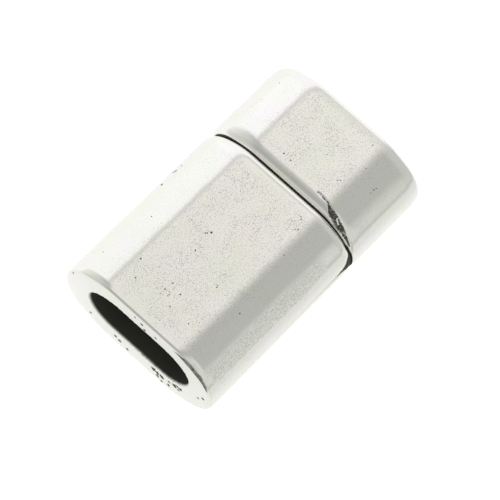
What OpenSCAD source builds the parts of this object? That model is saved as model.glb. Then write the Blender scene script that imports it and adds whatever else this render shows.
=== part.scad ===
// Magnetic clasp for a flat 10 mm cord: two cast halves, each with a glue-in cord socket
// at its outer end and a disc magnet in a pocket at the split.
// X runs along the cord, Y across it, Z up. The clasp lies on its flat underside.

/* [Cord sockets] */
// Width of the cord socket in both halves
socket_width = 10; // [7:0.1:16]
// Height of the cord socket in both halves
socket_height = 4.3; // [3:0.1:7]
// Depth of the socket in the long half
long_socket_depth = 10; // [5:0.1:20]
// Depth of the socket in the short half
short_socket_depth = 5; // [3:0.1:20]
// Radius of the rounded edge round each socket mouth
mouth_edge_r = 0.15; // [0.05:0.05:0.4]

/* [Casting walls] */
// Wall beside the socket, at its widest point
side_wall = 2.5; // [1.2:0.1:5]
// Wall above the socket
top_wall = 1.55; // [1.2:0.05:5]
// Wall below the socket
under_wall = 2.15; // [1.2:0.05:5]
// Web between socket and magnet pocket in the long half
long_web = 2; // [0.6:0.1:6]
// Web between socket and magnet pocket in the short half
short_web = 1; // [0.6:0.1:6]
// Radius of the outer edge at the long half's cord end
long_end_edge_r = 0.3; // [0.1:0.05:0.8]
// Radius of the outer edge at the short half's cord end
short_end_edge_r = 0.6; // [0.1:0.05:0.8]
// Radius of the two outer edges that meet in a groove at the split
split_edge_r = 0.7; // [0.1:0.05:0.8]

/* [Magnets] */
// Diameter of each disc magnet
magnet_d = 6; // [3:0.1:6.6]
// Thickness of each disc magnet
magnet_thick = 3; // [2:0.1:6]
// Radius of the rounded rim of each magnet
magnet_edge_r = 0.2; // [0.05:0.05:0.4]
// How far the short half's magnet stands out, to plug into the long half
magnet_proud = 1; // [0.4:0.05:1.8]

/* [Clearances] */
// Gap between the two halves when the clasp is shut
split_gap = 0.15; // [0.05:0.01:0.35]
// Gap between the two magnets when the clasp is shut
magnet_gap = 0.1; // [0.05:0.01:0.4]
// Radial clearance of a magnet in its pocket
pocket_clearance = 0.08; // [0.03:0.01:0.2]
// Glue layer between a magnet and the floor of its pocket
glue_layer = 0.05; // [0.02:0.01:0.2]

/* [Hidden] */
$fn = 128;
// Reach of a cutting shape past the face that it cuts
overcut = 1;
clasp_width = socket_width + 2 * side_wall;
clasp_height = socket_height + top_wall + under_wall;
axis_z = clasp_height / 2;
socket_z = under_wall + socket_height / 2;
magnet_sunk = magnet_proud + magnet_gap - split_gap;
pocket_r = magnet_d / 2 + pocket_clearance;
long_pocket_depth = magnet_sunk + magnet_thick + glue_layer;
short_pocket_depth = magnet_thick - magnet_proud + glue_layer;
long_length = long_socket_depth + long_web + long_pocket_depth;
short_length = short_socket_depth + short_web + short_pocket_depth;
clasp_length = long_length + split_gap + short_length;
long_end_x = -clasp_length / 2;
short_end_x = clasp_length / 2;
long_split_x = long_end_x + long_length;
short_split_x = short_end_x - short_length;

// Half outline of a bar, in radius and distance along its axis, with both rims rounded
module rim_outline(length, radius, start_r, stop_r) {
    polygon([
        [0, 0],
        [radius - start_r, 0],
        [radius, start_r],
        [radius, length - stop_r],
        [radius - stop_r, length],
        [0, length]
    ]);
    translate([radius - start_r, start_r])
        circle(r = start_r);
    translate([radius - stop_r, length - stop_r])
        circle(r = stop_r);
}

// Half outline of a blind socket cut from the plane at 0, with its mouth flared by a rounding
module socket_outline(depth, radius, mouth_r) {
    difference() {
        polygon([
            [0, -overcut],
            [radius + mouth_r, -overcut],
            [radius + mouth_r, mouth_r],
            [radius, mouth_r],
            [radius, depth],
            [0, depth]
        ]);
        translate([radius + mouth_r, mouth_r])
            circle(r = mouth_r);
    }
}

// Carries a half outline round a flat oval: straight over the flat, half a turn at each side.
// The outline's distance becomes X, and its radius the distance from the oval's middle line.
module round_flat_oval(flat) {
    rotate([0, -90, -90])
        linear_extrude(height = flat, center = true)
            for (side = [0, 1])
                mirror([side, 0])
                    children();
    for (side = [0, 1])
        mirror([0, side, 0])
            translate([0, flat / 2, 0])
                rotate([0, 90, 0])
                    rotate_extrude(angle = 180)
                        children();
}

// Solid casting of one half, from the cord end at 0 to the split at length
module casting(length, end_edge_r) {
    round_flat_oval(clasp_width - clasp_height)
        rim_outline(length, clasp_height / 2, end_edge_r, split_edge_r);
}

// Space for the cord, from the cord end at 0
module cord_space(depth) {
    round_flat_oval(socket_width - socket_height)
        socket_outline(depth, socket_height / 2, mouth_edge_r);
}

// Space for a magnet, from the split at length back towards the cord end
module magnet_space(length, depth) {
    translate([length - depth, 0, 0])
        rotate([0, 90, 0])
            cylinder(h = depth + overcut, r = pocket_r);
}

// One half of the clasp, with its cord end at 0
module half(length, end_edge_r, socket_depth, pocket_depth) {
    difference() {
        casting(length, end_edge_r);
        translate([0, 0, socket_z - axis_z])
            cord_space(socket_depth);
        magnet_space(length, pocket_depth);
    }
}

// Disc magnet with rounded rims, from 0 along X
module disc_magnet() {
    rotate([0, 90, 0])
        rotate_extrude()
            rim_outline(magnet_thick, magnet_d / 2, magnet_edge_r, magnet_edge_r);
}

module long_half() {
    color("silver")
        translate([long_end_x, 0, axis_z])
            half(long_length, long_end_edge_r, long_socket_depth, long_pocket_depth);
}

module short_half() {
    color("silver")
        translate([short_end_x, 0, axis_z])
            rotate([0, 0, 180])
                half(short_length, short_end_edge_r, short_socket_depth, short_pocket_depth);
}

module long_magnet() {
    color("gainsboro")
        translate([long_split_x - magnet_sunk - magnet_thick, 0, axis_z])
            disc_magnet();
}

module short_magnet() {
    color("gainsboro")
        translate([short_split_x - magnet_proud, 0, axis_z])
            disc_magnet();
}

long_half();
short_half();
long_magnet();
short_magnet();
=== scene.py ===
"""Antique silver magnetic clasp for a flat cord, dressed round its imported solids.

Each half is one surface: a profile carried round a flat oval, from the floor of the cord socket
over the outside to the floor of the magnet pocket. Lengths are in metres. X runs along the cord,
Y across it and Z up, and the clasp lies on the plane at zero height.
"""

import math

import bpy
import numpy as np
from bpy.props import FloatProperty, FloatVectorProperty, IntProperty, PointerProperty
from mathutils import Matrix, Vector


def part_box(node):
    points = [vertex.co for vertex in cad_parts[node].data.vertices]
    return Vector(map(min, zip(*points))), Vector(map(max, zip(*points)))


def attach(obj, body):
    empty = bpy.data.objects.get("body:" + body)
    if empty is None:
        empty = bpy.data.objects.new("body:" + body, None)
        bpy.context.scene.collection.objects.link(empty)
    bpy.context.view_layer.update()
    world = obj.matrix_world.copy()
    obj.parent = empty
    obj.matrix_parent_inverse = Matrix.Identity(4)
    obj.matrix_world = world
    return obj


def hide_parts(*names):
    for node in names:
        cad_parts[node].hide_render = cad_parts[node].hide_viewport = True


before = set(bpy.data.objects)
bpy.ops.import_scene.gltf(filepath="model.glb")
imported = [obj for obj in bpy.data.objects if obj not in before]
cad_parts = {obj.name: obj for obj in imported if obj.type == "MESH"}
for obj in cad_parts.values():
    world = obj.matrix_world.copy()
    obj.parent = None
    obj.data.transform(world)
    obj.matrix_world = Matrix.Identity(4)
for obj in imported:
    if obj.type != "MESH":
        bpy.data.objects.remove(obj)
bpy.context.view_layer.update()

bl_info = {
    "name": "Magnetic Clasp",
    "version": (1, 0, 0),
    "blender": (4, 5, 0),
    "location": "View3D > Sidebar > Clasp",
    "description": "Makes a two-part magnetic clasp in antique silver, with its stage",
    "category": "Add Mesh",
}

MM = 0.001
LONG_BOX, LONG_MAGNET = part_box("long_half"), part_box("long_magnet")
SHORT_BOX, SHORT_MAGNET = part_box("short_half"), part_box("short_magnet")
AXIS_HEIGHT = (LONG_BOX[0].z + LONG_BOX[1].z) / 2

# Pits charted, in millimetres: along the clasp, across it, height, radius
PITS = (
    (-8.5, 3.55, 8.0, 0.09), (-3.55, 1.5, 8.0, 0.07), (-3.45, 1.4, 8.0, 0.07),
    (-3.2, 1.2, 8.0, 0.10), (-9.9, 2.8, 8.0, 0.06), (-9.5, 0.6, 8.0, 0.05),
    (-9.0, 0.6, 8.0, 0.06), (-9.1, 0.1, 8.0, 0.06), (-9.25, 0.1, 8.0, 0.05),
    (-8.25, 0.5, 8.0, 0.06), (-8.5, -0.5, 8.0, 0.07), (-9.75, -0.6, 8.0, 0.06),
    (-9.8, -2.5, 8.0, 0.06), (-5.1, 1.1, 8.0, 0.07), (-6.15, -2.05, 8.0, 0.07),
    (-6.0, -2.0, 8.0, 0.06), (1.6, -3.3, 8.0, 0.07), (1.5, -3.15, 8.0, 0.05),
    (2.4, -2.9, 8.0, 0.06), (2.55, -2.75, 8.0, 0.05), (5.5, 1.65, 8.0, 0.07),
    (5.45, 0.9, 8.0, 0.07), (6.75, -2.75, 8.0, 0.05), (6.9, -2.9, 8.0, 0.06),
    (10.85, -2.75, 8.0, 0.06), (8.35, -5.15, 7.45, 0.07), (8.6, -5.2, 7.45, 0.06),
    (8.0, -5.15, 7.45, 0.05), (9.05, -3.65, 7.95, 0.05), (8.1, 6.15, 6.85, 0.07),
    (10.1, 6.05, 6.9, 0.06), (7.2, 6.3, 6.7, 0.05), (-5.2, 5.4, 7.4, 0.06),
    (-9.7, 6.15, 6.9, 0.06), (-0.65, -3.9, 7.95, 0.07), (-6.4, -4.65, 7.75, 0.07),
    (-0.75, 7.05, 5.8, 0.12), (-0.6, 6.95, 5.9, 0.12), (-2.2, 6.95, 5.95, 0.13),
    (0.0, 6.9, 6.0, 0.09), (-4.7, -7.5, 3.7, 0.10), (-12.1, 0.05, 7.4, 0.16),
    (-12.1, -0.3, 6.9, 0.16), (-12.1, -1.35, 7.2, 0.15), (-12.1, 0.75, 7.6, 0.12),
    (-12.1, 6.85, 5.65, 0.12), (-12.1, -6.6, 4.05, 0.17), (-12.1, -6.2, 3.4, 0.13),
    (-12.1, -1.9, 1.45, 0.28), (-12.1, -2.3, 1.4, 0.23), (-12.1, -2.75, 1.4, 0.28),
    (-12.1, -2.4, 0.9, 0.20), (-12.1, -2.85, 0.6, 0.15), (-12.1, -3.5, 1.0, 0.19),
    (-12.1, -3.5, 1.65, 0.18), (-12.1, -4.0, 1.85, 0.28), (-12.1, -4.3, 2.2, 0.17),
    (-12.1, -4.6, 2.1, 0.17), (-12.1, -4.4, 1.7, 0.16), (-12.1, 2.0, 1.25, 0.19),
    (-12.1, 1.55, 1.05, 0.19), (-12.1, 0.7, 0.8, 0.17), (-12.1, 4.6, 1.45, 0.14),
)

# Torn casting edge on the short half, in millimetres: way round the oval from the middle of the
# top towards -Y, distance from the split face, half width
TORN_EDGE = (
    (2.3, 0.96, 0.03),
    (2.9, 0.93, 0.045),
    (3.4, 0.92, 0.045),
    (3.6, 0.74, 0.10),
    (4.0, 0.55, 0.22),
    (4.5, 0.44, 0.25),
    (5.0, 0.36, 0.22),
    (5.5, 0.33, 0.20),
    (6.0, 0.26, 0.12),
    (6.6, 0.22, 0.07),
    (7.4, 0.17, 0.03),
)

# Bright crumb of metal inside the torn edge, in millimetres: way and distance from the split face
# at its two ends, and half width
CRUMB_FROM, CRUMB_TO, CRUMB_HALF = (4.55, 0.56), (5.1, 0.32), 0.06

# Where the torn edge and its crumb have faded out, in half widths from their middle
TORN_END, CRUMB_END = 1.5, 1.6

# Painted shade standing for the shadow under the clasp: black of the long half's split edge at its
# corner, in millimetres: way round, and how far it reaches from the split face
LONG_CORNER_SHADE = (
    (7.4, 0.0),
    (7.9, 0.24),
    (8.4, 0.68),
    (8.65, 0.98),
    (8.9, 1.9),
    (9.15, 0.9),
    (9.6, 0.3),
    (10.4, 0.0),
)

# Painted shade in the gap: black of the short half's split edge, at its +Y side and at that corner
SHORT_EDGE_SHADE = (
    (-11.0, 0.0),
    (-8.0, 0.16),
    (-5.8, 0.13),
    (-4.6, 0.09),
    (-3.2, 0.0),
    (7.0, 0.0),
    (7.6, 0.08),
    (9.6, 0.08),
    (10.4, 0.0),
)

# Stretch where both split edges are nearly square, in millimetres: way round to its start, full
# square, end of full square and end
SQUARE_WAY = (7.2, 8.2, 9.8, 10.8)

# Painted reflection of the shadow under the clasp, as a dark line running on from the corner, in
# millimetres: way round, how far it goes, half width; and how dark it starts, from 0 to 1
SHADOW_LINE_WAY, SHADOW_LINE_FADE, SHADOW_LINE_HALF, SHADOW_LINE_DARK = 8.95, 2.6, 0.12, 0.9

# Worn patch of the long half's side, in millimetres: where it starts and is full, by the way round
# from above and from below, by distance from the split, and by distance from the cord end
WORN_ABOVE, WORN_BELOW, WORN_SPLIT, WORN_END = (5.68, 6.28), (7.6, 7.2), (1.2, 4.2), (0.3, 1.3)

# Painted dark reflection along the long half's outer edge at the cord end, in millimetres: way
# round to its start, full dark, end of full dark and end, and how far from the end face it reaches
END_REFLECTION_WAY, END_REFLECTION_REACH = (3.0, 4.8, 6.2, 7.8), 0.23

# How dark that painted reflection is, from 0 to 1, and how far that swings
END_REFLECTION_DARK, END_REFLECTION_SWING = 0.82, 0.16

# How soft the edges of the painted shade at the corner and of the painted reflection at the cord
# end are
CORNER_SOFT, END_REFLECTION_SOFT = 0.04 * MM, 0.05 * MM

# Specks, scratches and fine tarnish: where they start and are full, in millimetres from the split
# and from the cord end, their share on the oval's ends, and how sharply they keep to its flats
MARKS_SPLIT, MARKS_END, MARKS_LEAST, MARKS_POWER = (0.4, 1.4), (0.2, 1.2), 0.2, 30

# Painted shade on the split faces, in the gap between the halves: how dark, from 0 to 1
SPLIT_FACE_SHADE = 0.4

# Radius of the smallest ring, which a fan closes, and mean distance of the rings of the outside
HUB, RING_STEP = 0.05 * MM, 0.14 * MM

# Polishing: how fast the shoulders' sine runs, and how fast a fall grows from its reach
SHOULDER_PACE, FALL_PACE = 3.4, 1.1

# Slack in telling whether a ring is on a rounded edge
HAIR_MORE = 1.001

# Ripples: spread of their waves about the wanted length, and what brings their sum to about 1
RIPPLE_SPREAD, RIPPLE_SUM = (0.7, 1.5), 1.4

# Wave lengths of the casting's slow waves and of the small ones on them, how high the small ones
# are beside them, and how far all are sunk, to stay inside the box
SLOW_WAVE, SMALL_WAVE, SMALL_SHARE, WAVE_SINK = 5.0 * MM, 1.6 * MM, 0.35, 1.6

# Wave lengths of the unevenness of the torn edge, the painted reflection's reach and darkness, and
# the mouth
TORN_WAVE, END_REFLECTION_WAVE, END_REFLECTION_MOTTLE, MOUTH_WAVE = 0.5 * MM, 0.7 * MM, 0.35 * MM, 0.3 * MM

# Burr of the socket's mouth: how soon it fades inwards, and its rougher stretch, by the way round
# to its middle, its half width, and how much rougher it is
MOUTH_FADE, ROUGH_WAY, ROUGH_HALF, ROUGHER = 0.25 * MM, 14.5 * MM, 2.5 * MM, 3

# Angle past which an edge is sharp
SHARP_ANGLE = math.radians(50)

# Floor, in millimetres: where it gets brighter towards the clasp from -Y, where it gets greyer in
# front of the cord end, and how soft its grey edge is
FLOOR_NEAR, FLOOR_FRONT, FLOOR_SOFT = (-22, -5), (-12, -16), 2

# Shares of the floor's glow in reflections: past its edge, what is added inside it and near the
# clasp, and what is taken off in front; and what the camera sees beside the whole glow
FLOOR_PAST, FLOOR_INSIDE, FLOOR_CLOSE, FLOOR_LESS, FLOOR_SEEN = 0.26, 0.4, 0.34, 0.13, 0.36

# Zones of the light tent, by direction: the soft steps that bound each, from 0 to 1
ZONES = {
    "panel": (("X", 0.14, 0.30), ("Y", -0.20, 0.12)),
    "window": (("X", 0.1, 0.32),),
    "window_white": (("Y", -0.2, 0.17),),
    "side": (("X", -0.35, 0.2),),
    "side_low": (("Y", -0.74, -0.95),),
    "side_end": (("X", 0.42, 0.62),),
    "back": (("Y", 0.5, 1.05),),
    "gleam": (("X", 0.27, 0.32), ("X", 0.372, 0.356), ("Y", -0.76, -0.84)),
    "front": (("X", -0.3, -0.6),),
    "strip": (("X", 0.28, 0.14), ("X", -0.5, -0.25), ("Y", -0.25, -0.5)),
    "far": (("X", 0.372, 0.384), ("X", 0.47, 0.42)),
}

# Direction past which the panel's rounded corners are measured, and the soft steps of its dark
# frame and of the window, by distance past it
PANEL_EDGE, FRAME_STEP, WINDOW_STEP = (0.30, 0.15, 9.0), (0.29, 0.33), (0.385, 0.425)

# Horizon at the front: its soft step, how much lower it stands towards +Y, and from where
HORIZON_STEP, HORIZON_DROP, HORIZON_FROM = (0.985, 0.385), 0.5, 0.17

# Light that the low side, the side's end and the back add, and share that the dark frame takes
LOW_LIGHT, END_LIGHT, BACK_LIGHT, FRAME_DARK = 0.17, 0.12, 0.38, 0.24

# Share that the far zone adds to the panel and to the window
FAR_PANEL, FAR_WINDOW = 0.08, 0.07

# Tints of the room and of the window
ROOM_TINT, WINDOW_TINT = (0.985, 1.0, 0.965), (1.0, 1.0, 1.03)


def a_length(label, description, millimetres):
    """A length that the user may change."""
    default = millimetres * MM
    return FloatProperty(name=label, description=description, default=default, unit="LENGTH")


def an_angle(label, description, degrees):
    """An angle that the user may change."""
    default = math.radians(degrees)
    return FloatProperty(name=label, description=description, default=default, subtype="ANGLE")


def a_colour(label, description, *levels):
    """A colour that the user may change."""
    return FloatVectorProperty(name=label, description=description, default=levels, subtype="COLOR")


def a_share(label, description, value):
    """A number from 0 to 1 that the user may change."""
    return FloatProperty(
        name=label, description=description, default=value, min=0, max=1, subtype="FACTOR"
    )


def a_level(label, description, value):
    """A level of light that the user may change."""
    return FloatProperty(name=label, description=description, default=value, min=0)


class ClaspShape(bpy.types.PropertyGroup):
    """Sizes of the two castings that their boxes don't give."""

    socket_width: a_length("Socket width", "Width of each cord socket", 10)
    socket_height: a_length("Socket height", "Height of each cord socket", 4.3)
    long_socket_depth: a_length("Long socket depth", "Depth of the long half's socket", 10)
    short_socket_depth: a_length("Short socket depth", "Depth of the short half's socket", 5)
    mouth_edge: a_length("Mouth edge", "Rounding of the socket's mouth", 0.18)
    long_end_edge: a_length("Long end edge", "Rounding of the long half's cord end", 0.26)
    short_end_edge: a_length("Short end edge", "Rounding of the short half's cord end", 0.5)
    long_split_edge: a_length("Long split edge", "Rounding of its edge at the split", 0.45)
    short_split_edge: a_length("Short split edge", "Rounding of its edge at the split", 0.6)
    long_split_shift: a_length("Long split shift", "How far its split face sits to -X", 0.015)
    short_split_shift: a_length("Short split shift", "How far its split face sits to -X", 0.055)
    square_share: a_share("Square share", "How square the split's corner is at -Y", 1.0)
    long_trim: a_length("Long trim", "Flat that the long half's ends take in", 0.4)
    short_trim: a_length("Short trim", "Flat that the short half's ends take in", 0.65)
    socket_trim: a_length("Socket trim", "Flat that the socket's ends take in", 0.85)
    socket_belly: a_length("Socket belly", "Flat that its lower half keeps", 0.5)
    socket_lift: a_length("Socket lift", "Height of the socket above the middle", 0.38)
    long_split_fall: a_length("Long split fall", "Fall of the long half at the split", 0.087)
    long_split_reach: a_length("Long split reach", "Where that fall starts", 0.8)
    short_split_fall: a_length("Short split fall", "Fall of the short half at the split", 0.08)
    short_split_reach: a_length("Short split reach", "Where that fall starts", 1.0)
    long_end_fall: a_length("Long end fall", "Fall at the long half's cord end", 0.0)
    short_end_fall: a_length("Short end fall", "Fall at the short half's cord end", 0.09)
    end_reach: a_length("End reach", "Where the end's falls start", 1.3)
    long_end_shoulder: a_length("Long end shoulder", "Extra fall at its shoulders", 0.14)
    short_end_shoulder: a_length("Short end shoulder", "Extra fall at its shoulders", 0.08)
    end_shoulder_reach: a_length("End shoulder reach", "Where that fall starts", 0.65)
    long_split_shoulder: a_length("Long split shoulder", "Extra fall at the +Y shoulder", 0.03)
    short_split_shoulder: a_length("Short split shoulder", "Extra fall at the +Y shoulder", 0.15)
    split_shoulder_reach: a_length("Split shoulder reach", "Where that fall starts", 1.3)
    pocket_gap: a_length("Pocket gap", "Gap round a magnet in its pocket", 0.08)
    glue_layer: a_length("Glue layer", "Glue behind a magnet", 0.05)
    inner_edge: a_length("Inner edge", "Rounding of the socket's floor", 0.25)
    pocket_rim: a_length("Pocket rim", "Rounding of the pocket's rim", 0.1)
    magnet_edge: a_length("Magnet edge", "Rounding of a magnet's rim", 0.2)
    wave_height: a_length("Wave height", "Height of the casting's slow waves", 0.006)
    torn_depth: a_length("Torn depth", "Depth of the torn casting edge", 0.09)
    # The black corner that this depth sinks is painted shade
    corner_depth: a_length("Corner depth", "Depth of the black corner", 0.02)
    mouth_burr: a_length("Mouth burr", "Unevenness of the socket's mouth", 0.012)
    arc_points: IntProperty(
        name="Arc points", description="Points round each half turn", default=128, min=16
    )
    flat_points: IntProperty(
        name="Flat points", description="Points along each flat", default=54, min=8
    )


class SilverFinish(bpy.types.PropertyGroup):
    """Colours and polish of the antique silver plate."""

    warm: a_colour("Warm silver", "Plate where it leans to cream", 0.938, 0.922, 0.893)
    cool: a_colour("Cool silver", "Plate where it leans to green", 0.92, 0.932, 0.859)
    bright: a_colour("Bright silver", "Plate worn bright", 1.0, 0.995, 0.95)
    worn: a_colour("Worn silver", "Flecks in the bright plate", 0.98, 0.985, 0.83)
    # This black is also the painted shade at the split and the painted dark reflection at the cord
    # end
    tarnish_and_shade_black: a_colour("Tarnish", "Black left in pits and hollows", 0.062, 0.06, 0.05)
    polish: a_share("Polish", "Roughness of the bare plate", 0.13)


class MagnetFinish(bpy.types.PropertyGroup):
    """Colour and polish of the plated magnets."""

    nickel: a_colour("Nickel", "Plating of the magnets", 0.66, 0.645, 0.61)
    polish: a_share("Polish", "Roughness of the plating", 0.24)


class StudioLook(bpy.types.PropertyGroup):
    """Camera, floor and light tent."""

    floor_colour: a_colour("Floor", "Colour of the floor", 0.55, 0.55, 0.55)
    floor_glow: a_level("Floor glow", "Light that the floor gives off", 0.65)
    floor_edge: a_length("Floor edge", "How far out at -Y the floor turns grey", 50)
    floor_size: a_length("Floor size", "Side of the floor", 1600)
    panel: a_colour("Top panel", "Light of the panel overhead", 0.87, 0.848, 0.825)
    window: a_level("Window", "Light of the white sides", 1.02)
    window_low: a_level("Window low", "Light of the window towards -Y", 0.58)
    strip: a_level("Strip", "Light of the strip at -Y", 0.70)
    side_room: a_level("Side room", "Light from the -Y side", 0.49)
    front_room: a_level("Front room", "Light from the -X side", 0.43)
    gleam: a_level("Gleam", "Extra light on the long half's side", 0.13)
    horizon: a_level("Horizon", "Light low on the -X side", 0.72)
    view_height: an_angle("View height", "Camera's angle above the horizon", 67.09)
    view_turn: an_angle("View turn", "Camera's turn from +X", 205.39)
    view_roll: an_angle("View roll", "Camera's roll", 18.0)
    view_distance: a_length("View distance", "Camera's distance", 259.0)
    frame_width: a_length("Frame width", "Width that the picture takes in", 38.7)
    aim_right: a_length("Aim right", "Aim right of the origin in the picture", 0.84)
    aim_up: a_length("Aim up", "Aim above the origin in the picture", 0.33)


class Wire:
    """One socket of a shader, whose arithmetic adds Math nodes to its tree."""

    def __init__(self, bench, made, socket):
        self.bench = bench
        self.made = made
        self.socket = socket

    def out(self, name):
        """Another output of the same node."""
        return Wire(self.bench, self.made, self.made.outputs[name])

    def maths(self, operation, *terms):
        """Adds a Math node on these terms."""
        return self.bench.node("ShaderNodeMath", {"operation": operation}, terms)

    def __add__(self, other):
        return self.maths("ADD", self, other)

    __radd__ = __add__

    def __sub__(self, other):
        return self.maths("SUBTRACT", self, other)

    def __rsub__(self, other):
        return self.maths("SUBTRACT", other, self)

    def __mul__(self, other):
        return self.maths("MULTIPLY", self, other)

    __rmul__ = __mul__


class Bench:
    """Adds nodes to one node tree."""

    def __init__(self, tree):
        self.tree = tree
        tree.nodes.clear()

    def node(self, kind, settings=None, inputs=(), output=0):
        """Adds a node: its settings first, then a value or a Wire for each socket."""
        made = self.tree.nodes.new(kind)
        for name, value in (settings or {}).items():
            setattr(made, name, value)
        pairs = inputs.items() if isinstance(inputs, dict) else enumerate(inputs)
        for name, value in pairs:
            if isinstance(value, Wire):
                self.tree.links.new(value.socket, made.inputs[name])
            else:
                made.inputs[name].default_value = value
        return Wire(self, made, made.outputs[output]) if len(made.outputs) else made

    def smooth(self, value, start, stop):
        """0 at start and 1 at stop, with soft ends."""
        inputs = {"Value": value, "From Min": start, "From Max": stop}
        return self.node("ShaderNodeMapRange", {"interpolation_type": "SMOOTHSTEP"}, inputs)

    def larger(self, one, other):
        """The larger of two numbers."""
        return self.node("ShaderNodeMath", {"operation": "MAXIMUM"}, (one, other))

    def vector(self, operation, *terms, output=0):
        """Adds a Vector Math node on these terms."""
        return self.node("ShaderNodeVectorMath", {"operation": operation}, terms, output)

    def scaled(self, vector, factor):
        """A vector times a number."""
        inputs = {"Vector": vector, "Scale": factor}
        return self.node("ShaderNodeVectorMath", {"operation": "SCALE"}, inputs)

    def blend(self, share, one, other):
        """Mixes two colours by share."""
        inputs = {0: share, 6: one, 7: other}
        return self.node("ShaderNodeMix", {"data_type": "RGBA"}, inputs, output=2)

    def noise(self, point, scale, detail=2.0, rough=0.5):
        """Noise from 0 to 1, with about so many waves a millimetre."""
        inputs = {"Vector": point, "Scale": scale, "Detail": detail, "Roughness": rough}
        return self.node("ShaderNodeTexNoise", None, inputs)

    def millimetres(self):
        """Place on the piece, in millimetres."""
        place = self.node("ShaderNodeTexCoord", output="Object")
        return self.scaled(place, 1 / MM)

    def attribute(self, name):
        """A number that the mesh gives at each point."""
        return self.node("ShaderNodeAttribute", {"attribute_name": name}, output="Fac")

    def bump(self, height):
        """Normal bent by a height in millimetres."""
        inputs = {"Strength": 1.0, "Distance": MM, "Height": height}
        return self.node("ShaderNodeBump", None, inputs)

    def metal(self, colour, rough, normal):
        """Bare metal."""
        inputs = {"Base Color": colour, "Metallic": 1.0, "Roughness": rough, "Normal": normal}
        return self.node("ShaderNodeBsdfPrincipled", None, inputs)

    def show(self, surface):
        """Makes a shader the material's surface."""
        self.node("ShaderNodeOutputMaterial", None, {"Surface": surface})


def opaque(colour):
    """A colour with full alpha, as a colour socket takes it."""
    return (*colour, 1.0)


def new_material(name):
    """A new material, and the bench that adds its nodes."""
    material = bpy.data.materials.new(name)
    material.use_nodes = True
    return material, Bench(material.node_tree)


def antique_silver(name, look):
    """Polished silver plate over a cast surface, with dark pits, specks, scratches and hollows.

    The plate drifts between a warm and a cool tint. Grain is fine noise, specks are the middles
    of some Voronoi cells, scratches are noise drawn out along X, and the charted pits are
    distances to their points, roughened by noise. The worn patch is brighter and rougher, with
    flecks and a grey mottle. Tarnish is a second, matt surface, mixed in where pits, torn metal
    and hollows keep it. Its black also stands as painted shade on the split faces and at the
    split corners, and as painted reflections of shade: a dark line running on from the long
    half's corner and a dark band along its cord end's edge."""
    material, bench = new_material(name)
    place = bench.millimetres()
    hollow, torn, flat, worn = map(bench.attribute, ("hollow", "torn", "flat", "worn"))
    grain = bench.noise(place, 8.0, detail=3.0, rough=0.6)
    drift = bench.smooth(bench.noise(place, 0.35), 0.4, 0.62)
    patch = bench.smooth(bench.noise(place, 0.6), 0.36, 0.62) * (0.15 + 0.85 * flat)

    edge_noise = bench.noise(place, 1.6, detail=4.0, rough=0.65)
    worn = bench.smooth(worn + 1.3 * (edge_noise - 0.5), 0.3, 0.6)
    fleck = worn * bench.smooth(bench.noise(place, 3.0, detail=4.0, rough=0.75), 0.44, 0.6)
    mottle = worn * bench.smooth(bench.noise(place, 8.0, rough=0.7), 0.56, 0.4)
    fine = flat * bench.smooth(bench.noise(place, 11.0, detail=1.0), 0.5, 0.25)

    # Two sizes of speck: cells a millimetre, radius in cells, and how dark the middle is
    dots = 0.0
    for scale, size, share in ((5.5, 0.3, 0.75), (12.0, 0.42, 0.6)):
        cells = bench.node("ShaderNodeTexVoronoi", None, {"Vector": place, "Scale": scale})
        chance = bench.node("ShaderNodeSeparateColor", None, {"Color": cells.out("Color")})
        dot = bench.smooth(cells, size, 0.5 * size) * bench.smooth(chance, 0.25, 0.8)
        dots = bench.larger(dots, share * dot)
    speck = dots * (0.16 + 0.84 * patch)

    crumb = bench.noise(place, 7.0, detail=3.0, rough=0.7) - 0.5
    ragged = 1 + 1.7 * crumb
    pit = 0.0
    for along, across, up, radius in PITS:
        away = bench.vector("DISTANCE", place, (along, across, up), output="Value")
        pit = bench.larger(pit, bench.smooth(away * ragged, radius, radius * 0.65))

    drawn = bench.vector("MULTIPLY", place, (0.16, 5.0, 5.0))
    lines = bench.noise(drawn, 1.6, detail=3.0, rough=0.7)
    few = bench.smooth(bench.noise(place, 0.3, detail=1.0), 0.45, 0.6)
    scratch = bench.smooth(lines, 0.6, 0.7) * few

    tear = bench.smooth(torn + 1.5 * crumb, 0.36, 0.52)
    streak = bench.smooth(bench.noise(place, 5.0), 0.56, 0.66)
    deepest = 0.97
    dark = bench.larger(deepest * pit, tear * (deepest - 0.35 * streak))
    # The mesh adds tarnish in the socket and pocket, and painted shade at the split and the cord
    # end
    dark = bench.larger(dark, hollow)

    plate = bench.blend(drift, opaque(look.warm), opaque(look.cool))
    # Coats over the plate: how much there is of each, and its colour
    coats = (
        (worn, look.bright),
        (0.5 * fleck, look.worn),
        (0.22 * mottle, look.tarnish_and_shade_black),
        (0.38 * fine, look.tarnish_and_shade_black),
        (0.6 * speck, look.tarnish_and_shade_black),
        (0.12 * scratch * flat, look.tarnish_and_shade_black),
    )
    for share, colour in coats:
        plate = bench.blend(share, plate, opaque(colour))
    rough = look.polish + 0.06 * grain + 0.2 * speck + 0.06 * scratch
    rough = rough + 0.25 * worn + 0.15 * fleck + 0.6 * hollow

    # Heights in millimetres
    raised = 0.0006 * grain + 0.006 * fleck
    sunk = 0.006 * mottle + 0.004 * speck + 0.03 * pit + 0.0006 * scratch + 0.02 * tear
    normal = bench.bump(raised - sunk)
    matt = {
        "Base Color": opaque(look.tarnish_and_shade_black),
        "Roughness": 0.75,
        "Specular IOR Level": 0.2,
        "Normal": normal,
    }
    bare = bench.metal(plate, rough, normal)
    black = bench.node("ShaderNodeBsdfPrincipled", None, matt)
    bench.show(bench.node("ShaderNodeMixShader", None, {0: dark, 1: bare, 2: black}))
    return material


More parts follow.
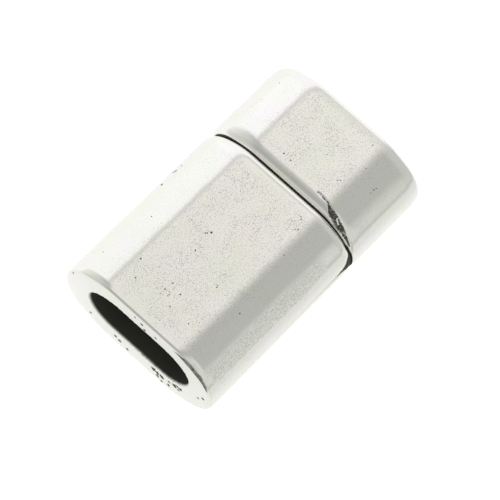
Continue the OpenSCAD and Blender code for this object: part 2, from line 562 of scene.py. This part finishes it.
def nickel_plate(name, look):
    """Satin nickel with grain, faint scratches drawn out along Y, and dull spots."""
    material, bench = new_material(name)
    place = bench.millimetres()
    dull, cut = (0.4, 0.385, 0.36), (0.2, 0.19, 0.18)
    grain = bench.noise(place, 12.0, detail=3.0, rough=0.6)
    smear = bench.smooth(bench.noise(place, 0.9, detail=3.0), 0.4, 0.65)
    drawn = bench.vector("MULTIPLY", place, (1.0, 0.5, 9.0))
    scratch = bench.smooth(bench.noise(drawn, 1.2, detail=3.0, rough=0.7), 0.6, 0.68)
    plate = bench.blend(0.3 * smear, opaque(look.nickel), opaque(dull))
    plate = bench.blend(0.35 * scratch, plate, opaque(cut))
    rough = look.polish + 0.12 * grain + 0.15 * smear
    normal = bench.bump(0.002 * grain - 0.003 * scratch)
    bench.show(bench.metal(plate, rough, normal))
    return material


def plain_floor(look):
    """Matt floor that gives off light, as a lit tent's floor does. In reflections it is less
    bright towards -Y and in front of the cord end, and grey past its edge at -Y; the camera
    sees it white."""
    material, bench = new_material("plain_floor")
    axes = bench.node("ShaderNodeSeparateXYZ", None, (bench.millimetres(),))
    edge = -look.floor_edge / MM
    inside = bench.smooth(axes.out("Y"), edge - FLOOR_SOFT, edge + FLOOR_SOFT)
    near = bench.smooth(axes.out("Y"), *FLOOR_NEAR)
    front = bench.smooth(axes.out("X"), *FLOOR_FRONT)
    share = FLOOR_PAST + FLOOR_INSIDE * inside + FLOOR_CLOSE * near - FLOOR_LESS * front
    seen = bench.node("ShaderNodeLightPath", output="Is Camera Ray")
    glow = look.floor_glow * share + (FLOOR_SEEN + look.floor_glow * (1 - share)) * seen
    inputs = {
        "Base Color": opaque(look.floor_colour),
        "Roughness": 0.9,
        "Emission Color": bench.node("ShaderNodeCombineColor", None, (glow, glow, glow)),
        "Emission Strength": 1.0,
    }
    bench.show(bench.node("ShaderNodeBsdfPrincipled", None, inputs))
    return material


def own(shape, side, name):
    """A size that each half has to itself, such as long_trim for the long half's trim."""
    return getattr(shape, f"{side}_{name}")


def oval_loop(shape):
    """Where each point of a loop lies on a flat oval: share of the half flat, and angle.

    The loop takes half a turn round the +Y end, the top flat, half a turn round the -Y end and
    the bottom flat. On an oval of half flat f, whose ends reach a to the side and r up, a point
    is at y = f * share + a * cos(angle), z = r * sin(angle)."""
    turn = np.linspace(-90, 90, shape.arc_points, endpoint=False)
    slide = np.linspace(1, -1, shape.flat_points, endpoint=False)
    still = np.ones(shape.arc_points)
    share = np.concatenate([still, slide, -still, -slide])
    top = np.full(shape.flat_points, 90.0)
    angle = np.radians(np.concatenate([turn, top, turn + 180, top + 180]))
    return share, angle


def grown(oval, by):
    """An oval grown all round by a distance."""
    half_flat, reach, radius, *rest = oval
    return half_flat, reach + by, radius + by, *rest


def straight(start, stop, count):
    """Profile rows evenly spaced from one row to another."""
    return np.linspace(start, stop, count)


def rounding(x, oval, edge, start, stop, count):
    """Profile rows round part of a circle of radius edge about an oval at x, between two angles."""
    angle = np.radians(np.linspace(start, stop, count))
    rows = np.repeat([[x, *oval]], count, axis=0)
    rows[:, 0] += edge * np.cos(angle)
    rows[:, 2] += edge * np.sin(angle)
    rows[:, 3] += edge * np.sin(angle)
    return rows


def graded(start, stop, count):
    """Profile rows from one row to another, 2.6 times as close together at the ends."""
    even = np.linspace(0, 1, count)
    share = 0.5 * even + 0.25 * (1 - np.cos(np.pi * even))
    first, last = np.array(start), np.array(stop)
    return first + (last - first) * share[:, None]


def casting_profile(shape, side, size, pocket_radius, pocket_depth):
    """Profile of one half, how dark each of its rows is, and how far it follows the outside.

    A row holds distance from the cord end and an oval: half flat, reach to the side, radius
    upwards, how far it has turned into a circle, lift, and how much wider the flat of its lower
    half is. The rows run over the socket's floor, its wall and mouth, the end face, the outside,
    the split face, and the magnet pocket."""
    length, width, height = size
    trim = own(shape, side, "trim")
    socket_depth = own(shape, side, "socket_depth")
    outer = (width / 2 - height / 2 - trim, height / 2 + trim, height / 2, 0, 0, 0)
    hole_r = shape.socket_height / 2
    hole_flat = shape.socket_width / 2 - hole_r - shape.socket_trim
    hole = (hole_flat, hole_r + shape.socket_trim, hole_r, 0, shape.socket_lift, shape.socket_belly)
    end, split = own(shape, side, "end_edge"), own(shape, side, "split_edge")
    mouth, inner, rim = shape.mouth_edge, shape.inner_edge, shape.pocket_rim
    pocket = (outer[0], pocket_radius, pocket_radius, 1, 0, 0)
    pocket_floor = length - pocket_depth
    floor_middle = (HUB, HUB, HUB, 0, shape.socket_lift, 0)
    pocket_middle = grown(pocket, HUB - pocket_radius)
    outside_rows = int(length / RING_STEP)
    floor = grown(hole, -inner)
    split_face, rim_edge = grown(outer, -split), grown(pocket, rim)
    # Each part's rows, how dark its first and last row are, and how far they follow the outside
    parts = (
        (straight((socket_depth, *floor_middle), (socket_depth, *floor), 10), (1, 1), (0, 0)),
        (rounding(socket_depth - inner, floor, inner, 0, 90, 6), (1, 1), (0, 0)),
        (straight((socket_depth - inner, *hole), (mouth, *hole), 30), (1, 1), (0, 0)),
        (rounding(mouth, grown(hole, mouth), mouth, -90, -180, 7), (1, 0), (0, 0)),
        (straight((0, *grown(hole, mouth)), (0, *grown(outer, -end)), 14), (0, 0), (0, 1)),
        (rounding(end, grown(outer, -end), end, 180, 90, 12), (0, 0), (1, 1)),
        (graded((end, *outer), (length - split, *outer), outside_rows), (0, 0), (1, 1)),
        (rounding(length - split, split_face, split, 90, 0, 20), (0, 0), (1, 1)),
        # The split face darkens towards the pocket: painted shade in the gap between the halves
        (straight((length, *split_face), (length, *rim_edge), 12), (0, 0.5), (1, 0)),
        (rounding(length - rim, rim_edge, rim, 0, -90, 5), (0.5, 1), (0, 0)),
        (straight((length - rim, *pocket), (pocket_floor, *pocket), 6), (1, 1), (0, 0)),
        (straight((pocket_floor, *pocket), (pocket_floor, *pocket_middle), 8), (1, 1), (0, 0)),
    )
    # A part's first row is the last one of the part before it, so all but one part leave it out
    columns = []
    for number, (rows, *shares) in enumerate(parts):
        kept = slice(min(1, number), None)
        shares = [np.linspace(*ends, len(rows))[kept] for ends in shares]
        columns.append((rows[kept], *shares))
    return tuple(np.concatenate(column) for column in zip(*columns))


def polished_fall(shape, side, length, x, angle):
    """How far polishing has lowered the outside near both ends, and more on the oval's shoulders.

    Each fall grows from nothing at its reach to full at the end, with soft ends. The shoulders
    are the squared sine of the way round from the flat, at the split on the +Y side alone."""
    lean = np.arccos(np.clip(np.abs(np.sin(angle)), 0, 1))
    shoulder = np.sin(np.clip(SHOULDER_PACE * lean, 0, np.pi)) ** 2
    one_shoulder = shoulder * (np.cos(angle) > 0)
    falls = (
        (own(shape, side, "end_fall"), x, shape.end_reach, 1),
        (own(shape, side, "split_fall"), length - x, own(shape, side, "split_reach"), 1),
        (own(shape, side, "end_shoulder"), x, shape.end_shoulder_reach, shoulder),
        (own(shape, side, "split_shoulder"), length - x, shape.split_shoulder_reach, one_shoulder),
    )
    total = 0
    for fall, away, reach, share in falls:
        total = total + fall * soft_step(FALL_PACE * (1 - away / reach)) * share
    return total


def soft_step(value):
    """0 below 0 and 1 above 1, with soft ends."""
    held = np.clip(value, 0, 1)
    return held * held * (3 - 2 * held)


def faded(distance, start, stop):
    """0 at start and 1 at stop, evenly between them: both are in millimetres."""
    return np.clip((distance / MM - start) / (stop - start), 0, 1)


def carried_round(rows, share, angle, fall=0.0):
    """Carries profile rows round the loop: arrays of x, y and z, one row per ring.

    A ring lies between its oval and a circle, by how far its row has turned into one. The circle's
    points are at the angles that the widest oval's points have."""
    x, half_flat, reach, radius, turned, lift, belly = (rows[:, i : i + 1] for i in range(7))
    lower = belly * (np.sin(angle) < 0)
    oval_y = (half_flat + lower) * share + (reach - lower - fall) * np.cos(angle)
    oval_z = (radius - fall) * np.sin(angle) + lift
    widest = radius.argmax()
    widest_y = half_flat[widest] * share + reach[widest] * np.cos(angle)
    heading = np.arctan2(radius[widest] * np.sin(angle), widest_y)
    y = (1 - turned) * oval_y + turned * radius * np.cos(heading)
    z = (1 - turned) * oval_z + turned * radius * np.sin(heading)
    return np.stack([x + 0 * y, y, z], axis=2)


def grid_normals(grid):
    """Unit normals of a grid that closes on itself in its second direction."""
    across = np.roll(grid, -1, axis=1) - np.roll(grid, 1, axis=1)
    along = np.gradient(grid, axis=0)
    normals = np.cross(along, across)
    return normals / np.maximum(np.linalg.norm(normals, axis=2, keepdims=True), 1e-15)


def ripple(points, wave_length, seed, waves=9):
    """Sum of sine waves in random directions, about -1 to 1, of roughly the given wave length."""
    draw = np.random.default_rng(seed)
    heading = draw.normal(size=(waves, 3))
    heading /= np.linalg.norm(heading, axis=1, keepdims=True)
    number = 2 * np.pi / (wave_length * draw.uniform(*RIPPLE_SPREAD, waves))
    phase = draw.uniform(0, 2 * np.pi, waves)
    total = np.sin(points @ (heading * number[:, None]).T + phase).sum(axis=-1)
    return total / math.sqrt(waves) / RIPPLE_SUM


def uneven(points, wave_length, seed, middle, swing):
    """A ripple about a middle value, about as far as its swing to each side."""
    return middle + swing * ripple(points, wave_length, seed)


def way_round(size, trim, share, angle):
    """Way round the outside from the middle of the top, positive towards -Y."""
    outer_r = size.z / 2
    half_flat = size.y / 2 - outer_r - trim
    return (outer_r + trim / 2) * (angle - math.pi / 2) - half_flat * share


def torn_band(way, away):
    """How torn the short half is, from 0 to 1: full along the charted band but for its bright
    crumb, and none beside it."""
    ways, middles, halves = (np.array(TORN_EDGE) * MM).T
    middle = np.interp(way, ways, middles)
    half_width = np.interp(way, ways, halves, left=0, right=0)
    offset = np.abs(away - middle) / np.maximum(half_width, 1e-6)
    torn = np.where(half_width > 0, np.clip(TORN_END - offset, 0, 1), 0)
    along = (way / MM - CRUMB_FROM[0]) / (CRUMB_TO[0] - CRUMB_FROM[0])
    aside = np.abs(away / MM - CRUMB_FROM[1] - along * (CRUMB_TO[1] - CRUMB_FROM[1])) / CRUMB_HALF
    crumb = np.clip(CRUMB_END - aside, 0, 1) * (along > 0) * (along < 1)
    return torn * (1 - crumb)


def stretch(way, ends):
    """1 along a stretch of the way round and 0 beyond it, from four ways in millimetres."""
    return np.interp(way / MM, ends, (0, 1, 1, 0))


def painted_corner_shade(way, away, short):
    """How dark the painted shade at the split's corner is, from 0 to 1: full up to its charted
    reach.
    """
    reach = np.interp(way / MM, *np.array(SHORT_EDGE_SHADE if short else LONG_CORNER_SHADE).T)
    return np.clip((reach * MM - away) / CORNER_SOFT, 0, 1)


def squared(rows, away, edge, way):
    """How far the split's rounded edge is filled out towards a square one: by all that the
    rounding takes off, along the square stretch."""
    cut = rows[:, 3].max() - rows[:, 3:4]
    rounded = (cut <= edge * HAIR_MORE) * (away <= edge * HAIR_MORE)
    return cut * rounded * soft_step(stretch(way, SQUARE_WAY))


def shadow_line_shade(way, away):
    """How dark the painted shadow reflection beyond the corner is, from 0 to 1: most beside the
    corner.
    """
    line = np.exp(-(((way / MM - SHADOW_LINE_WAY) / SHADOW_LINE_HALF) ** 2))
    return SHADOW_LINE_DARK * line * np.exp(-away / (SHADOW_LINE_FADE * MM))


def end_reflection_shade(way, x):
    """How dark the painted reflection along the cord end is, from 0 to 1: its reach tapers at both
    ends.
    """
    reach = END_REFLECTION_REACH * MM * stretch(way, END_REFLECTION_WAY)
    return np.clip((reach - x) / END_REFLECTION_SOFT, 0, 1)


def worn_share(way, x, away):
    """How worn the long half's side is, from 0 to 1: full in the patch, less near both ends."""
    across = faded(way, *WORN_ABOVE) * faded(way, *WORN_BELOW)
    return across * faded(away, *WORN_SPLIT) * faded(x, *WORN_END)


def closed_mesh(name, grid, flip, attributes):
    """Mesh of a grid of rings, closed with a fan at its first and last ring. Flip turns its faces
    over, and each attribute gives every point a number."""
    rings, around = grid.shape[:2]
    points = grid.reshape(-1, 3)
    ends = np.stack([grid[0].mean(axis=0), grid[-1].mean(axis=0)])
    vertices = np.concatenate([points, ends])
    index = np.arange(rings * around).reshape(rings, around)
    here, ahead = index[:-1], np.roll(index[:-1], -1, axis=1)
    above, above_ahead = index[1:], np.roll(index[1:], -1, axis=1)
    quads = np.stack([here, above, above_ahead, ahead], axis=2).reshape(-1, 4)
    first, last = rings * around, rings * around + 1
    ring_ahead = np.roll(np.arange(around), -1)
    low = np.stack([np.full(around, first), index[0], index[0][ring_ahead]], axis=1)
    high = np.stack([np.full(around, last), index[-1][ring_ahead], index[-1]], axis=1)
    if flip:
        quads, low, high = quads[:, ::-1], low[:, ::-1], high[:, ::-1]
    corners = np.concatenate([quads.ravel(), low.ravel(), high.ravel()])
    totals = np.concatenate([np.full(len(quads), 4), np.full(len(low) + len(high), 3)])
    starts = np.concatenate([[0], np.cumsum(totals)[:-1]])
    mesh = bpy.data.meshes.new(name)
    mesh.vertices.add(len(vertices))
    mesh.vertices.foreach_set("co", vertices.ravel())
    mesh.loops.add(len(corners))
    mesh.loops.foreach_set("vertex_index", corners.astype(np.int32))
    mesh.polygons.add(len(totals))
    mesh.polygons.foreach_set("loop_start", starts.astype(np.int32))
    for label, values in attributes.items():
        padded = np.concatenate([values.ravel(), values[0, :1], values[-1, :1]])
        layer = mesh.attributes.new(label, "FLOAT", "POINT")
        layer.data.foreach_set("value", padded.astype(np.float32))
    mesh.update(calc_edges=True)
    mesh.validate()
    mesh.shade_smooth()
    return mesh


def add_piece(name, mesh, material, body, node):
    """Adds a finished mesh that rides on a body and stands for a CAD node."""
    mesh.materials.append(material)
    piece = bpy.data.objects.new(name, mesh)
    bpy.context.scene.collection.objects.link(piece)
    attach(piece, body)
    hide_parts(node)


def make_casting(side, box, magnet):
    """Makes one half from its box and its magnet's.

    The profile is carried round the oval. Waves, the mouth's burr, the torn edge and the black
    corner of painted shade then move its points along their normals, and the whole is set with its
    cord end at the box's outer end."""
    shape = bpy.context.scene.clasp_shape
    short = side == "short"
    low, high = box
    shift = Vector((own(shape, side, "split_shift"), 0, 0))
    if short:
        low = low - shift
        pocket_depth = magnet[1].x - low.x + shape.glue_layer
    else:
        high = high - shift
        pocket_depth = high.x - magnet[0].x + shape.glue_layer
    size = high - low
    pocket_radius = (magnet[1].z - magnet[0].z) / 2 + shape.pocket_gap
    share, angle = oval_loop(shape)
    rows, dark, follow = casting_profile(shape, side, size, pocket_radius, pocket_depth)
    x, dark, follow = rows[:, :1], dark[:, None], follow[:, None]
    away = size.x - x
    way = way_round(size, own(shape, side, "trim"), share, angle)
    fall = follow * polished_fall(shape, side, size.x, x, angle)
    fall = fall - shape.square_share * squared(rows, away, own(shape, side, "split_edge"), way)
    grid = carried_round(rows, share, angle, fall)
    normals = grid_normals(grid)
    normals *= np.sign((normals * (grid - grid.mean(axis=(0, 1)))).sum())

    none = np.zeros_like(fall)
    outside = follow * (away > 0)
    split_face = np.isclose(away, 0) + none
    torn = outside * torn_band(way, away) if short else none
    # Painted shade at the split's corner and, on the short half, along its +Y side in the gap
    corner = follow**3 * painted_corner_shade(way, away, short)
    # Painted reflection of the shadow under the clasp: a dark line beyond the corner
    shadow_line = none if short else outside * shadow_line_shade(way, away)
    worn = none if short else outside * worn_share(way, x, away)
    # Painted dark reflection along the long half's cord end edge, uneven in reach and darkness
    ragged = uneven(grid, END_REFLECTION_WAVE, seed=13, middle=0.9, swing=0.2)
    end_reflection = none if short else end_reflection_shade(way, x / ragged) * (follow == 1)
    mottle = np.clip(ripple(grid, END_REFLECTION_MOTTLE, seed=19), -1.5, 1)
    end_reflection = end_reflection * (END_REFLECTION_DARK + END_REFLECTION_SWING * mottle)

    slow = ripple(grid, SLOW_WAVE, seed=3 + short) - WAVE_SINK
    small = ripple(grid, SMALL_WAVE, seed=5 + short) - WAVE_SINK
    wave = (slow + SMALL_SHARE * small) * shape.wave_height
    crumble = uneven(grid, TORN_WAVE, seed=11, middle=0.6, swing=0.4)
    mouth = np.exp(-np.abs(x) / MOUTH_FADE) * (1 - follow)
    rough_side = 1 + ROUGHER * np.exp(-(((way - ROUGH_WAY) / ROUGH_HALF) ** 2))
    burr = mouth * rough_side * ripple(grid, MOUTH_WAVE, seed=17) * shape.mouth_burr
    move = follow * wave + burr - shape.torn_depth * torn * crumble
    move = move - shape.corner_depth * corner * outside
    grid = grid + normals * move[:, :, None]

    # Tarnish in the socket and pocket, and painted shade: split faces, corner, its dark line, cord
    # end
    hollow = np.maximum.reduce([dark + none, SPLIT_FACE_SHADE * split_face, corner, shadow_line, end_reflection])
    lean = MARKS_LEAST + (1 - MARKS_LEAST) * np.abs(np.sin(angle)) ** MARKS_POWER
    flat = outside * lean * faded(away, *MARKS_SPLIT) * faded(x, *MARKS_END)
    if short:
        grid[:, :, 0] = high.x - grid[:, :, 0]
    else:
        grid[:, :, 0] = low.x + grid[:, :, 0]
    grid[:, :, 2] += AXIS_HEIGHT

    name = f"{side}_casting"
    marks = {"hollow": hollow, "torn": torn, "flat": flat, "worn": worn}
    mesh = closed_mesh(name, grid, short, marks)
    mesh.set_sharp_from_angle(angle=SHARP_ANGLE)
    material = antique_silver(name + "_silver", bpy.context.scene.silver_finish)
    add_piece(name, mesh, material, f"{side}_side", f"{side}_half")


def make_magnet(side, box):
    """Makes one disc magnet: a rounded half outline carried round a circle about X."""
    shape = bpy.context.scene.clasp_shape
    low, high = box
    length, radius, edge = high.x - low.x, (high.z - low.z) / 2, shape.magnet_edge
    inner = radius - edge
    rim = (0, inner, inner, 1, 0, 0)
    full = grown(rim, edge)
    middle = grown(rim, HUB - inner)
    parts = [
        straight((0, *middle), (0, *rim), 10),
        rounding(edge, rim, edge, 180, 90, 8)[1:],
        straight((edge, *full), (length - edge, *full), 8)[1:],
        rounding(length - edge, rim, edge, 90, 0, 8)[1:],
        straight((length, *rim), (length, *middle), 10)[1:],
    ]
    rows = np.concatenate(parts)
    share, angle = oval_loop(shape)
    grid = carried_round(rows, share * 0, np.linspace(0, 2 * np.pi, len(angle), endpoint=False))
    grid[:, :, 0] += low.x
    grid[:, :, 2] += AXIS_HEIGHT
    name = f"{side}_disc"
    mesh = closed_mesh(name, grid, False, {})
    material = nickel_plate(name + "_nickel", bpy.context.scene.magnet_finish)
    add_piece(name, mesh, material, f"{side}_side", f"{side}_magnet")


def light_tent(look):
    """World light by direction: a cream panel overhead with rounded corners and a thin dark
    frame, a white window beyond it at +X and +Y that greys towards -Y, and a greyer room on the
    other two sides. The room has a lighter strip, a gleam and a lighter low part at -Y, and a
    lighter horizon at -X. The camera sees white."""
    world = bpy.data.worlds.new("light_tent")
    world.use_nodes = True
    bpy.context.scene.world = world
    bench = Bench(world.node_tree)
    heading = bench.node("ShaderNodeTexCoord", output="Generated")
    axes = bench.node("ShaderNodeSeparateXYZ", None, (heading,))

    def zone(name):
        """1 inside a zone and 0 outside it: the product of its soft steps."""
        first, *others = (bench.smooth(axes.out(axis), *ends) for axis, *ends in ZONES[name])
        return math.prod(others, start=first)

    def tinted(level, tint):
        """A level of light as a colour, from its shares of red, green and blue."""
        return bench.node("ShaderNodeCombineColor", None, [share * level for share in tint])

    past = bench.vector("SUBTRACT", heading, PANEL_EDGE)
    past = bench.vector("MAXIMUM", past, (0.0, 0.0, 0.0))
    past = bench.vector("LENGTH", past, output="Value")
    far = zone("far")
    white = look.window_low + (look.window - look.window_low) * zone("window_white")
    white = white * (1 + FAR_WINDOW * far)

    side = look.side_room + LOW_LIGHT * zone("side_low") + END_LIGHT * zone("side_end")
    grey = look.front_room + (side - look.front_room) * zone("side")
    grey = grey + BACK_LIGHT * zone("back") + look.gleam * zone("gleam")
    level = axes.out("Z") + HORIZON_DROP * bench.larger(axes.out("Y"), HORIZON_FROM)
    low = bench.smooth(level, *HORIZON_STEP) * zone("front")
    grey = grey + (look.horizon - grey) * low
    grey = grey + (look.strip - grey) * zone("strip")

    lift = (1 + FAR_PANEL * far) * (1 - FRAME_DARK * bench.smooth(past, *FRAME_STEP))
    light = bench.blend(zone("panel"), tinted(grey, ROOM_TINT), bench.scaled(look.panel, lift))
    window = bench.smooth(past, *WINDOW_STEP) * zone("window")
    light = bench.blend(window, light, tinted(white, WINDOW_TINT))
    seen = bench.node("ShaderNodeLightPath", output="Is Camera Ray")
    light = bench.blend(seen, light, (1.0, 1.0, 1.0, 1.0))
    glow = bench.node("ShaderNodeBackground", None, (light, 1.0))
    bench.node("ShaderNodeOutputWorld", None, {"Surface": glow})


def lay_floor(look):
    """Square floor just under the clasp."""
    half = look.floor_size / 2
    mesh = bpy.data.meshes.new("studio_floor")
    drop = -0.002 * MM
    corners = [(-half, -half, drop), (half, -half, drop), (half, half, drop), (-half, half, drop)]
    mesh.from_pydata(corners, [], [(0, 1, 2, 3)])
    mesh.materials.append(plain_floor(look))
    floor = bpy.data.objects.new("studio_floor", mesh)
    bpy.context.scene.collection.objects.link(floor)


def set_camera(look):
    """Camera at the photograph's angle, aimed a little beside the origin."""
    across = math.cos(look.view_height)
    ahead, aside = math.cos(look.view_turn), math.sin(look.view_turn)
    back = Vector((across * ahead, across * aside, math.sin(look.view_height)))
    level = Vector((-aside, ahead, 0))
    upright = back.cross(level)
    turn, lean = math.cos(look.view_roll), math.sin(look.view_roll)
    right = level * turn + upright * lean
    up = upright * turn - level * lean
    aim = right * look.aim_right + up * look.aim_up
    data = bpy.data.cameras.new("photo_camera")
    data.lens = data.sensor_width * look.view_distance / look.frame_width
    data.clip_start, data.clip_end = 0.01, 10.0
    camera = bpy.data.objects.new("photo_camera", data)
    bpy.context.scene.collection.objects.link(camera)
    turned = Matrix((right, up, back)).transposed().to_4x4()
    camera.matrix_world = Matrix.Translation(aim + back * look.view_distance) @ turned
    bpy.context.scene.camera = camera


class CLASP_OT_stage(bpy.types.Operator):
    """Adds the camera, the floor and the light tent"""

    bl_idname = "clasp.stage"
    bl_label = "Stage"

    def execute(self, context):
        look = context.scene.studio_look
        set_camera(look)
        lay_floor(look)
        light_tent(look)
        context.scene.view_settings.view_transform = "Standard"
        return {"FINISHED"}


class CLASP_OT_long_half(bpy.types.Operator):
    """Makes the long casting"""

    bl_idname = "clasp.long_half"
    bl_label = "Long half"

    def execute(self, context):
        make_casting("long", LONG_BOX, LONG_MAGNET)
        return {"FINISHED"}


class CLASP_OT_short_half(bpy.types.Operator):
    """Makes the short casting"""

    bl_idname = "clasp.short_half"
    bl_label = "Short half"

    def execute(self, context):
        make_casting("short", SHORT_BOX, SHORT_MAGNET)
        return {"FINISHED"}


class CLASP_OT_magnets(bpy.types.Operator):
    """Makes the two disc magnets"""

    bl_idname = "clasp.magnets"
    bl_label = "Magnets"

    def execute(self, context):
        make_magnet("long", LONG_MAGNET)
        make_magnet("short", SHORT_MAGNET)
        return {"FINISHED"}


class CLASP_PT_sidebar(bpy.types.Panel):
    """Lists the clasp's operators"""

    bl_idname = "CLASP_PT_sidebar"
    bl_label = "Magnetic clasp"
    bl_space_type = "VIEW_3D"
    bl_region_type = "UI"
    bl_category = "Clasp"

    def draw(self, context):
        for operator in OPERATORS:
            self.layout.operator(operator.bl_idname)


GROUPS = {
    "clasp_shape": ClaspShape,
    "silver_finish": SilverFinish,
    "magnet_finish": MagnetFinish,
    "studio_look": StudioLook,
}
OPERATORS = (CLASP_OT_stage, CLASP_OT_long_half, CLASP_OT_short_half, CLASP_OT_magnets)
CLASSES = (*GROUPS.values(), *OPERATORS, CLASP_PT_sidebar)


def register():
    for made in CLASSES:
        bpy.utils.register_class(made)
    for name, group in GROUPS.items():
        setattr(bpy.types.Scene, name, PointerProperty(type=group))


def unregister():
    for name in GROUPS:
        delattr(bpy.types.Scene, name)
    for made in reversed(CLASSES):
        bpy.utils.unregister_class(made)


def main():
    """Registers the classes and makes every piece."""
    register()
    bpy.ops.clasp.stage()
    bpy.ops.clasp.long_half()
    bpy.ops.clasp.short_half()
    bpy.ops.clasp.magnets()


if __name__ == "__main__":
    main()
